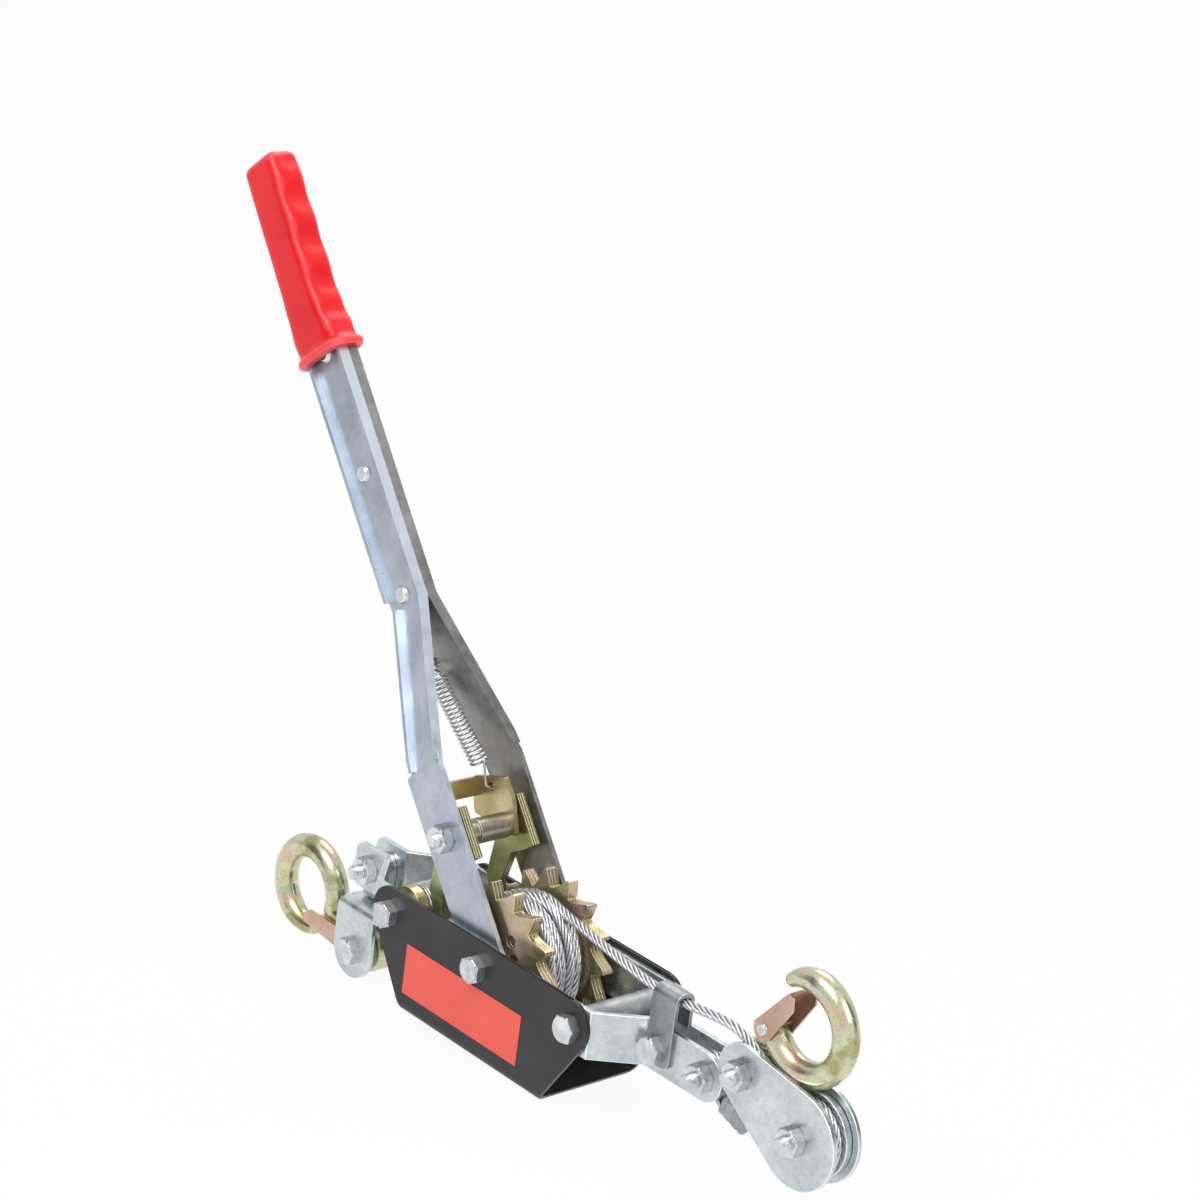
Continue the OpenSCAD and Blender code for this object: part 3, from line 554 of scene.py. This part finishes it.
def hex_ring(y, turn, limit, x, z):
    ring = []
    for k in range(AROUND):
        a = 2 * math.pi * k / AROUND
        to_flat = (a + math.pi / 6) % (math.pi / 3) - math.pi / 6
        r = min(FLATS / 2 / math.cos(math.pi / 6 - abs(to_flat)), limit)
        ring.append((x + r * math.cos(a + turn), y, z + r * math.sin(a + turn)))
    return ring


def round_ring(y, r, x, z):
    return [(x + r * math.cos(2 * math.pi * k / AROUND), y, z + r * math.sin(2 * math.pi * k / AROUND))
            for k in range(AROUND)]


def stack(rings, verts, faces):
    offset = len(verts)
    for ring in rings:
        verts += ring
    faces += tube_faces(len(rings), AROUND, offset=offset)


def add_hex(verts, faces, x, z, y0, y1, turn, both):
    """A hexagon with its corners turned off at y1, and at y0 too where both."""
    turn = math.radians(turn)
    up = 1 if y1 > y0 else -1
    crop = FLATS / 2 * 0.98
    slope = math.tan(math.radians(30))
    steps = [(0.0, crop), (0.33, crop + 0.33 / slope), (0.66, FLATS)]
    rings = []
    if both:
        rings += [hex_ring(y0 + up * d, turn, limit, x, z) for d, limit in steps]
    else:
        rings.append(hex_ring(y0, turn, FLATS, x, z))
    rings += [hex_ring(y1 - up * d, turn, limit, x, z) for d, limit in reversed(steps)]
    rings.append(round_ring(y1, crop - 0.35, x, z))
    stack(rings, verts, faces)


def add_shank(verts, faces, x, z, y0, y1, thread):
    """A round shank from y0 to y1 with a thread on its last stretch and a broken end."""
    up = 1 if y1 > y0 else -1
    rings = [round_ring(y0, BOLT_R, x, z), round_ring(y1 - up * thread, BOLT_R, x, z)]
    count = round(thread / 0.3)
    for i in range(1, count - 2):
        y = y1 - up * thread * (1 - i / count)
        ring = []
        for k in range(AROUND):
            a = 2 * math.pi * k / AROUND
            wave = abs(((y / THREAD_PITCH + up * k / AROUND) % 1) * 2 - 1)
            r = BOLT_R - 0.55 * wave * min(1, i / 3)
            ring.append((x + r * math.cos(a), y, z + r * math.sin(a)))
        rings.append(ring)
    rings += [round_ring(y1 - up * 0.5, BOLT_R - 0.5, x, z), round_ring(y1, BOLT_R - 1.0, x, z)]
    stack(rings, verts, faces)


def bolts(node, places, place=IN_FRAME, thread=12):
    """places: x, z, the face under the head, the shank's end and the head's turn."""
    verts, faces = [], []
    for x, z, face, end, turn in places:
        out = -1 if end > face else 1
        add_hex(verts, faces, x, z, face, face + out * HEAD_H, turn, False)
        add_shank(verts, faces, x, z, face + out, end, thread)
    make(node + "_turned", verts, faces, BODY_OF[node], BRIGHT_ZINC, [node], place, 22)


def nuts(node, places, place=IN_FRAME):
    verts, faces = [], []
    for x, z, y0, turn in places:
        add_hex(verts, faces, x, z, y0, y0 + NUT_H, turn, True)
    make(node + "_turned", verts, faces, BODY_OF[node], BRIGHT_ZINC, [node], place, 22)


CASING_Y, FRAME_END, STUB = 31.85, 39.5, -20
EAR, CHEEK, ARM, YOKE = 8, 9.25, 26.55, 14.05
PAWL_PIVOT, HOOK_BOLT, PIN = (1.5, 66), (162, 13), (-117, -45)


def add_fasteners():
    bolts("frame_bolts", [(-70, 0, -CASING_Y, FRAME_END, 30), (70, 0, -CASING_Y, FRAME_END, 12)])
    bolts("axle_bolt", [(0, 0, -CASING_Y, FRAME_END, 30)])
    nuts("frame_nuts", [(x, 0, CASING_Y, 0) for x in (-70, 0, 70)])
    bolts("guide_bolt", [(106, 0, -EAR - 2, 17.5, 20)], thread=7)
    nuts("guide_nut", [(106, 0, EAR + 2, 0)])
    bolts("anchor_bolt", [(ANCHOR_X, 0, EAR, STUB, 0)], thread=13)
    nuts("anchor_nut", [(ANCHOR_X, 0, -EAR - NUT_H, 14)])
    bolts("link_bolt", [(-117, 0, EAR, STUB, 0)], thread=13)
    nuts("link_nut", [(-117, 0, -EAR - NUT_H, 10)])
    bolts("pawl_bolt", [(*PAWL_PIVOT, ARM, -36, 20)], ON_HANDLE)
    nuts("pawl_nut", [(*PAWL_PIVOT, -ARM - NUT_H, 25)], ON_HANDLE)
    bolts("hook_pin", [(*PIN, -YOKE, 21.7, 10)], thread=8)
    nuts("hook_pin_nut", [(*PIN, YOKE, 0)])
    bolts("block_bolts", [(*HOOK_BOLT, CHEEK, STUB, 0), (*SHEAVE, CHEEK, STUB, 0)])
    nuts("block_nuts", [(*HOOK_BOLT, -CHEEK - NUT_H, 5), (*SHEAVE, -CHEEK - NUT_H, 18)])


# ---- hooks ----
BOWL_R, BAR_R = 22.5, 6.5


def bar_along(path, radii, verts, faces, sides=24):
    """A round bar with domed ends."""
    line = [Vector(p) for p in path]
    first = (line[0] - line[1]).normalized()
    last = (line[-1] - line[-2]).normalized()
    dome = [20, 45, 65, 80]
    before = [line[0] + first * radii[0] * math.sin(math.radians(d)) for d in reversed(dome)]
    after = [line[-1] + last * radii[-1] * math.sin(math.radians(d)) for d in dome]
    sizes = ([radii[0] * math.cos(math.radians(d)) for d in reversed(dome)] + list(radii)
             + [radii[-1] * math.cos(math.radians(d)) for d in dome])
    more, around = sweep(before + line + after, lambda i, share: circle(sizes[i], sides), offset=len(verts))
    verts += more
    faces += around


def slab(outline, y0, y1, verts, faces):
    """A flat outline in X and Z between y0 and y1."""
    offset, n = len(verts), len(outline)
    verts += [(x, y0, z) for x, z in outline] + [(x, y1, z) for x, z in outline]
    faces += tube_faces(2, n, offset=offset)


def ring_slab(x, z, outer, inner, y0, y1, verts, faces, sides=48):
    """A flat ring as one closed shell."""
    offset = len(verts)
    corners = ((outer, y0 + 1), (outer - 1, y0), (inner, y0), (inner, y1), (outer - 1, y1), (outer, y1 - 1))
    for r, y in corners:
        verts += [(x + r * math.cos(2 * math.pi * k / sides), y, z + r * math.sin(2 * math.pi * k / sides))
                  for k in range(sides)]
    for i in range(6):
        for k in range(sides):
            a, b = offset + i * sides + k, offset + i * sides + (k + 1) % sides
            c, d = offset + (i + 1) % 6 * sides + (k + 1) % sides, offset + (i + 1) % 6 * sides + k
            faces.append((a, b, c, d))


def disc(x, z, r, sides=32):
    return [(x + r * math.cos(2 * math.pi * k / sides), z + r * math.sin(2 * math.pi * k / sides))
            for k in range(sides)]


def forge(name, verts, faces, place, node, material, voxel=0.7, relax=7):
    """Shells melted into one skin with filleted joins."""
    mesh = bpy.data.meshes.new(name + "_raw")
    mesh.from_pydata([place @ Vector(v) for v in verts], [], faces)
    bm = bmesh.new()
    bm.from_mesh(mesh)
    bmesh.ops.recalc_face_normals(bm, faces=bm.faces)
    bm.to_mesh(mesh)
    bm.free()
    raw = bpy.data.objects.new(name + "_raw", mesh)
    bpy.context.collection.objects.link(raw)
    remesh = raw.modifiers.new("one skin", "REMESH")
    remesh.mode, remesh.voxel_size = "VOXEL", voxel * MM
    smooth = raw.modifiers.new("fillets", "SMOOTH")
    smooth.factor, smooth.iterations = 0.5, relax
    bpy.context.view_layer.update()
    skin = bpy.data.meshes.new_from_object(raw.evaluated_get(bpy.context.evaluated_depsgraph_get()))
    bpy.data.objects.remove(raw)
    return finish_piece(name, skin, BODY_OF[node], material, [node], 70)


def bowl_bar(reach, start, tip, verts, faces):
    """The bar round the bowl, thinning smoothly towards its tip."""
    path, radii = [], []
    count = round((tip - start) / 5)
    for i in range(count + 1):
        a = math.radians(start + (tip - start) * i / count)
        path.append((reach + BOWL_R * math.cos(a), 0, BOWL_R * math.sin(a)))
        left = (tip - start) * (1 - i / count)
        radii.append(BAR_R - 2.6 * max(0, 1 - left / 48) ** 1.2)
    bar_along(path, radii, verts, faces)


def add_hooks():
    verts, faces = [], []
    ring_slab(0, 0, 13.6, 4.4, -6, 6, verts, faces)
    bar_along([(9, 0, 0), (20, 0, 0), (30, 0, 0), (34, 0, 0)], [5.8, 5.8, 6.1, 6.4], verts, faces)
    bowl_bar(56, 181, 474, verts, faces)
    slab(disc(17, 6, 4.6), -3.3, 3.3, verts, faces)
    slab([(12.6, 7), (21.4, 7), (27, 0), (13, 0)], -3.3, 3.3, verts, faces)
    forge("anchor_hook_forged", verts, faces, at_eye(*PIN, 169.2), "anchor_hook", HOOK)
    verts, faces = [], []
    ring_slab(0, 0, 12, 4.4, -1.2, 6.4, verts, faces)
    slab([(5, -10.9), (21, -6.5), (27, 8), (14, 12), (6, 10.6)], -1.2, 6.4, verts, faces)
    bowl_bar(45.8, 164.2, 437.8, verts, faces)
    slab(disc(25.4, 10.4, 4.6), -3.3, 3.3, verts, faces)
    slab([(21, 11.6), (29.8, 11.6), (30, 3), (19, 3)], -3.3, 3.3, verts, faces)
    forge("pulley_hook_forged", verts, faces, at_eye(*HOOK_BOLT, 50.8), "pulley_hook", HOOK)


# ---- grip ----
GRIP_FROM, GRIP_LEN = 322.8, 109.4


def grip_widths(u):
    """Left reach, right reach and finger wave of the grip at u above its flange's face."""
    left_stops = [(0, 17.6), (12, 17.3), (26, 15.8), (42, 14.4), (68, 13.1), (90, 12.1), (109, 11.4)]
    right_stops = [(0, 17.4), (11, 15.6), (22, 13.0), (41, 12.7), (60, 13.3), (82, 14.1), (109, 15.2)]

    def at(stops):
        for (a, va), (b, vb) in zip(stops, stops[1:]):
            if u <= b:
                t = (u - a) / (b - a)
                return va + (vb - va) * t * t * (3 - 2 * t)
        return stops[-1][1]

    wave = 1.2 * math.cos(2 * math.pi * u / 23.5) * min(1, max(0, u - 16) / 14)
    return at(left_stops), at(right_stops), wave


def add_grip():
    sides = 64
    verts, faces = [], []

    def ring(u, shrink=0.0, power=7.0):
        left, right, wave = grip_widths(u)
        deep = 9.3 - 0.5 * min(1, max(0, u - 87) / 22)
        out = []
        for k in range(sides):
            a = 2 * math.pi * (k + 0.5) / sides
            c, s = math.cos(a), math.sin(a)
            scale = (abs(c) ** power + abs(s) ** power) ** (-1 / power)
            x, y = scale * c, scale * s
            wide = right if x > 0 else left
            push = wave * max(0, x) ** 3 * (0.9 - 0.65 * y * y + 0.22 * y)
            out.append((x * (wide - shrink) + push - 1.5 * u / GRIP_LEN, y * (deep - shrink), GRIP_FROM + u))
        return out

    def lip(u, grow):
        out = []
        for k in range(sides):
            a = 2 * math.pi * (k + 0.5) / sides
            c, s = math.cos(a), math.sin(a)
            scale = (abs(c) ** 3.4 + abs(s) ** 3.4) ** (-1 / 3.4)
            out.append((scale * c * (17.4 + grow), scale * s * (9.6 + grow), GRIP_FROM + u))
        return out

    rings = [lip(-1, 0.2), lip(-1.4, 1.2), lip(-0.9, 2.1), lip(0.3, 2.6), lip(1.7, 2.6), lip(2.9, 2.0)]
    rings.append(lip(3.6, 0.9))
    rings += [ring(4.2, -0.1, 4.5), ring(6, 0, 5.2), ring(9, 0, 6)]
    rings += [ring(u) for u in range(12, int(GRIP_LEN) - 2, 2)]
    rings += [ring(GRIP_LEN - back, shrink) for back, shrink in ((2.5, 0.3), (1.2, 0.9), (0.3, 2.0))]
    rings.append(ring(GRIP_LEN, 3.4, 5))
    for r in rings:
        verts += r
    inner = [[(x * 14.7 / 17.6, y * 6.4 / 9.6, z) for x, y, z in lip(-1, 0.2)]]
    inner += [[(x, y, GRIP_FROM + 10) for x, y, z in inner[0]]]
    offset = len(verts)
    n = len(rings)
    faces += [f for f in tube_faces(n, sides, closed=True)]
    faces.append(tuple(range((n - 1) * sides, n * sides)))
    for r in inner:
        verts += r
    for k in range(sides):
        m = (k + 1) % sides
        faces.append((k, offset + k, offset + m, m))
        faces.append((offset + k, offset + sides + k, offset + sides + m, offset + m))
    faces.append(tuple(range(offset + 2 * sides - 1, offset + sides - 1, -1)))
    make("grip_moulded", verts, faces, "handle", GRIP, ["grip"], ON_HANDLE, 60)


# ---- crimped ferrule ----
def add_ferrule():
    heading, length, sides = math.radians(-16.6), 16.6, 40
    along = Vector((math.cos(heading), 0, math.sin(heading)))
    path = [Vector((147.2, 0, -10.25)) + along * length * i / 40 for i in range(41)]

    def section(i, share):
        pinch = 0.55 * max(0, math.cos(2 * math.pi * (share * 3 - 0.5))) ** 2
        end = 0.9 * max(0, 1 - min(i, 40 - i) / 2) ** 2
        out = []
        for k in range(sides):
            a = 2 * math.pi * k / sides
            x, y = 3.9 * math.cos(a), 3.9 * math.sin(a)
            out.append((x * (1 - pinch * 0.24) - end * math.cos(a),
                        (y + math.copysign(2.8, y)) * (1 - pinch * 0.05) - end * math.sin(a)))
        return out

    verts, faces = sweep(path, section)
    make("ferrule_crimped", verts, faces, "frame", DULL_ZINC, ["ferrule"], sharp=60)


# ---- dressed nodes ----
FINISH = {
    "casing": (PAINT, 0.35), "label_panel": (LABEL, 0.1), "strap_front": (GALVANISED, 0.4),
    "strap_rear": (GALVANISED, 0.4), "frame_spacers": (DULL_ZINC, 0.3), "axle_sleeve": (DULL_ZINC, 0.2),
    "cable_guide": (GUIDE_ZINC, 0.3), "thimble": (DULL_ZINC, 0.2), "drum_hub": (GOLD, 0.3),
    "ratchet_front": (GEAR, 0.28), "ratchet_rear": (GEAR, 0.28), "cable_core": (DULL_ZINC, 0.3),
    "holding_pawl": (GOLD, 0.3), "handle_arm_front": (HANDLE_ZINC_LIT, 0.35),
    "handle_arm_rear": (HANDLE_ZINC_SHADED, 0.35),
    "handle_rivets": (BRIGHT_ZINC, 0.3), "pawl_tube": (TUBE, 0.3), "drive_pawl_front": (PAWL, 0.25),
    "drive_pawl_rear": (PAWL, 0.25), "pawl_bracket": (GOLD, 0.35), "upper_yoke": (GALVANISED, 0.25),
    "swivel_rivet": (BRIGHT_ZINC, 0.3), "lower_yoke": (GALVANISED, 0.4), "anchor_latch": (COPPER, 0.2),
    "anchor_latch_pin": (BRIGHT_ZINC, 0.2), "block_cheek_front": (GALVANISED, 0.4),
    "block_cheek_rear": (GALVANISED, 0.4), "hook_spacer": (DULL_ZINC, 0.2), "sheave": (GALVANISED, 0.35),
    "pulley_latch": (COPPER, 0.2), "pulley_latch_pin": (BRIGHT_ZINC, 0.2),
}


# ---- room and light ----
def add_room():
    floor_z = CAD_BOX[0][2]
    bm = bmesh.new()
    bmesh.ops.create_grid(bm, x_segments=1, y_segments=1, size=9)
    mesh = bpy.data.meshes.new("floor")
    bm.to_mesh(mesh)
    bm.free()
    floor = bpy.data.objects.new("floor", mesh)
    floor.location = (0, 0, floor_z)
    bpy.context.collection.objects.link(floor)
    s = Shader("floor_white", Roughness=0.9)
    s.colour(s.ramp(s.noise(3, 2), [(0.3, (0.90, 0.90, 0.90)), (0.7, (0.93, 0.93, 0.93))]))
    glow = s.node("ShaderNodeEmission")
    glow.inputs["Strength"].default_value = 1.0
    mixed = s.node("ShaderNodeMixShader")
    s.link(seen_rays(s.tree, 0.93), mixed.inputs[0])
    s.link(s.bsdf.outputs[0], mixed.inputs[1])
    s.link(glow.outputs[0], mixed.inputs[2])
    s.link(mixed.outputs[0], s.tree.nodes["Material Output"].inputs["Surface"])
    mesh.materials.append(s.material)


def add_flag(name, azimuth):
    """A dark upright card beside the view, seen only in reflections, that gives the metal its dark edges."""
    material = Shader(name + "_black", Roughness=0.9)
    blacks = [(0.3, (0.02, 0.02, 0.02)), (0.7, (0.04, 0.04, 0.04))]
    material.colour(material.ramp(material.noise(4, 2), blacks))
    a = math.radians(azimuth)
    out = Vector((math.sin(a), -math.cos(a), 0))
    side = Vector((math.cos(a), math.sin(a), 0))
    away, half_width, foot, head = 1.1, 0.3, 0.02, 1.1
    corners = ((-half_width, foot), (half_width, foot), (half_width, head), (-half_width, head))
    verts = [out * away + side * x + Vector((0, 0, z)) for x, z in corners]
    mesh = bpy.data.meshes.new(name)
    mesh.from_pydata(verts, [], [(0, 1, 2, 3)])
    mesh.materials.append(material.material)
    card = bpy.data.objects.new(name, mesh)
    bpy.context.collection.objects.link(card)
    card.visible_camera = card.visible_shadow = card.visible_diffuse = False


def seen_rays(tree, share):
    """share for camera, glossy and transmission rays, and 0 for the rest."""
    path = tree.nodes.new("ShaderNodeLightPath")
    last = None
    for name in ("Is Camera Ray", "Is Glossy Ray", "Is Transmission Ray"):
        if last is None:
            last = path.outputs[name]
            continue
        most = tree.nodes.new("ShaderNodeMath")
        most.operation = "MAXIMUM"
        tree.links.new(last, most.inputs[0])
        tree.links.new(path.outputs[name], most.inputs[1])
        last = most.outputs[0]
    scaled = tree.nodes.new("ShaderNodeMath")
    scaled.operation = "MULTIPLY"
    scaled.inputs[1].default_value = share
    tree.links.new(last, scaled.inputs[0])
    return scaled.outputs[0]


def add_world():
    world = bpy.data.worlds.new("studio")
    world.use_nodes = True
    bpy.context.scene.world = world
    tree = world.node_tree
    soft = tree.nodes["Background"]
    soft.inputs["Color"].default_value = (0.95, 0.97, 1.0, 1)
    soft.inputs["Strength"].default_value = 0.55
    white = tree.nodes.new("ShaderNodeBackground")
    white.inputs["Strength"].default_value = 1.0
    mixed = tree.nodes.new("ShaderNodeMixShader")
    tree.links.new(seen_rays(tree, 1.0), mixed.inputs[0])
    tree.links.new(soft.outputs[0], mixed.inputs[1])
    tree.links.new(white.outputs[0], mixed.inputs[2])
    tree.links.new(mixed.outputs[0], tree.nodes["World Output"].inputs["Surface"])


def add_lamp(name, azimuth, elevation, distance, size, power):
    """A soft square lamp aimed at the middle of the winch."""
    middle = (Vector(CAD_BOX[0]) + Vector(CAD_BOX[1])) / 2
    a, e = math.radians(azimuth), math.radians(elevation)
    back = Vector((math.sin(a) * math.cos(e), -math.cos(a) * math.cos(e), math.sin(e)))
    data = bpy.data.lights.new(name, "AREA")
    data.size, data.energy = size, power
    lamp = bpy.data.objects.new(name, data)
    lamp.location = middle + back * distance
    lamp.rotation_mode = "QUATERNION"
    lamp.rotation_quaternion = (-back).to_track_quat("-Z", "Y")
    bpy.context.collection.objects.link(lamp)


add_cable()
add_winding()
add_springs()
add_fasteners()
add_hooks()
add_grip()
add_ferrule()
HANDLE_ACROSS = ON_HANDLE.to_3x3().col[0].normalized()
for node, (material, bevel) in FINISH.items():
    dress(node, material, bevel, HANDLE_ACROSS if node == "handle_arm_front" else None)
add_room()
add_world()
add_flag("flag_left", -38)
add_flag("flag_right", 128)
add_lamp("key", 10, 55, 1.6, 0.9, 14)
add_lamp("side", 95, 30, 1.8, 0.8, 8)
add_lamp("back", 210, 50, 1.8, 0.9, 7)
bpy.context.scene.view_settings.view_transform = "Standard"
